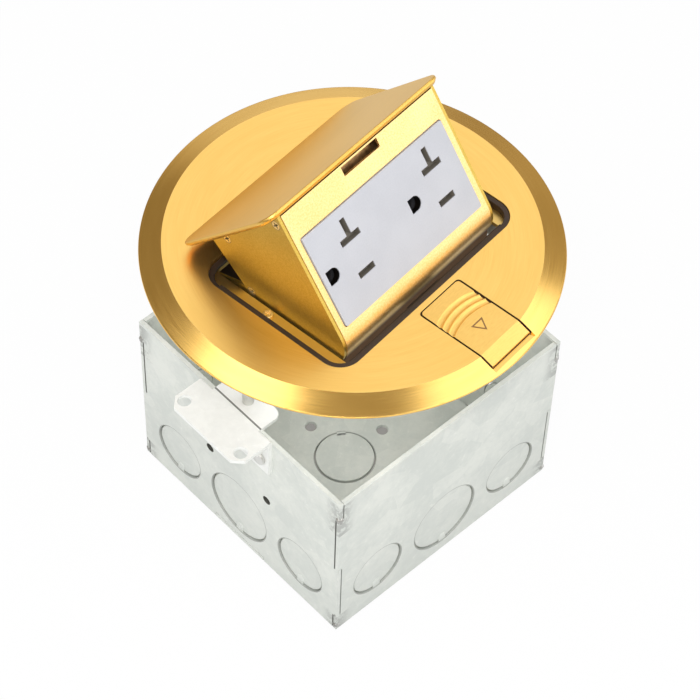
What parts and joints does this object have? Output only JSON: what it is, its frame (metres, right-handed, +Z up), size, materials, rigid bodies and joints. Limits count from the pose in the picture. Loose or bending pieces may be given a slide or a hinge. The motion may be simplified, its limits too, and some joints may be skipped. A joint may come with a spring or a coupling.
{
  "type": "floor socket box",
  "caption": "Floor socket box: a round brass cover with a latch and a spring-lifted pop-up twin socket, carried on levelling screws above a square galvanised steel box with knock-outs.",
  "frame": {"origin": "centre of the underside of the steel box, on the axis of the round cover", "axes": "+Z up out of the floor; -Y is the front wall of the box, on the side the socket faces; X runs along the hinge but for the cover's turn of 6.6 degrees about Z"},
  "size_m": [0.1396, 0.1396, 0.1709],
  "materials": {
    "galvanised": "galvanised sheet, pale grey with a green cast and scuffs",
    "bracket_steel": "bright zinc plate",
    "zinc_screw": "zinc-plated screws and rivets",
    "ground_green": "green dyed bonding screw",
    "cover_brass": "circular brushed, lacquered",
    "lid_brass": "satin, fine straight grain",
    "face_brass": "fine grained bright brass finish",
    "side_brass": "satin brass finish",
    "latch_brass": "satin, ground grooves",
    "gasket": "dark brown rubber",
    "seal": "black rubber",
    "frame_steel": "plated steel pressing",
    "spring_steel": "bright spring wire",
    "device_grey": "light grey moulding, soft gloss",
    "device_back": "grey moulding",
    "shutter_plastic": "brown-grey moulding",
    "contact_brass": "bright strip",
    "terminal_brass": "bright screw",
    "terminal_silver": "nickel-plated screw"
  },
  "bodies": {
    "base": {"box_body": "galvanised", "box_side_left": "galvanised", "box_side_right": "galvanised", "bracket_left": "bracket_steel", "bracket_right": "bracket_steel", "bracket_rivets": "zinc_screw", "ground_screw": "ground_green", "cover_plate": "cover_brass", "opening_gasket": "gasket", "floor_seal": "seal", "tilt_frame": "frame_steel", "cover_screws": "zinc_screw", "levelling_screws": "zinc_screw", "pivot_rod": "frame_steel", "rod_clips": "spring_steel", "rod_washers": "zinc_screw", "lift_springs": "spring_steel", "latch_guide": "frame_steel", "guide_screws": "zinc_screw", "latch_spring": "spring_steel"},
    "popup": {"lid": "lid_brass", "side_plate_left": "side_brass", "side_plate_right": "side_brass", "side_screws": "zinc_screw", "face_plate": "face_brass", "rear_stay": "frame_steel", "receptacle_face": "device_grey", "receptacle_body": "device_back", "receptacle_strap": "frame_steel", "strap_rivets": "zinc_screw", "hot_contacts": "contact_brass", "neutral_contacts": "contact_brass", "ground_contacts": "contact_brass", "terminal_screws_hot": "terminal_brass", "terminal_screws_neutral": "terminal_silver", "ground_terminal_screw": "ground_green", "shutter_springs": "spring_steel"},
    "latch": {"latch_slider": "latch_brass", "latch_tongue": "frame_steel", "latch_screw": "zinc_screw"},
    "left_shutter": {"shutter_left": "shutter_plastic"},
    "right_shutter": {"shutter_right": "shutter_plastic"}
  },
  "joints": [
    {"name": "popup_tilt", "type": "hinge", "parent": "base", "child": "popup", "pos_m": [-0.00407, 0.03517, 0.1124], "axis": [0.9934, 0.1149, 0], "range_deg": [0, 48], "stiffness_Nm_per_rad": 0.12, "springref_deg": -68.75, "deforming": ["lift_springs"]},
    {"name": "latch_slide", "type": "slide", "parent": "base", "child": "latch", "axis": [0.1149, -0.9934, 0], "range_m": [0, 0.0018], "stiffness_N_per_m": 300, "springref_m": -0.003, "deforming": ["latch_spring"]},
    {"name": "left_shutter_slide", "type": "slide", "parent": "popup", "child": "left_shutter", "axis": [-0.9341, 0.1285, 0.3331], "range_m": [0, 0.00613], "stiffness_N_per_m": 60, "springref_m": -0.002, "deforming": ["shutter_springs"]},
    {"name": "right_shutter_slide", "type": "slide", "parent": "popup", "child": "right_shutter", "axis": [-0.9341, 0.1285, 0.3331], "range_m": [0, 0.00613], "stiffness_N_per_m": 60, "springref_m": -0.002, "deforming": ["shutter_springs"]}
  ]
}
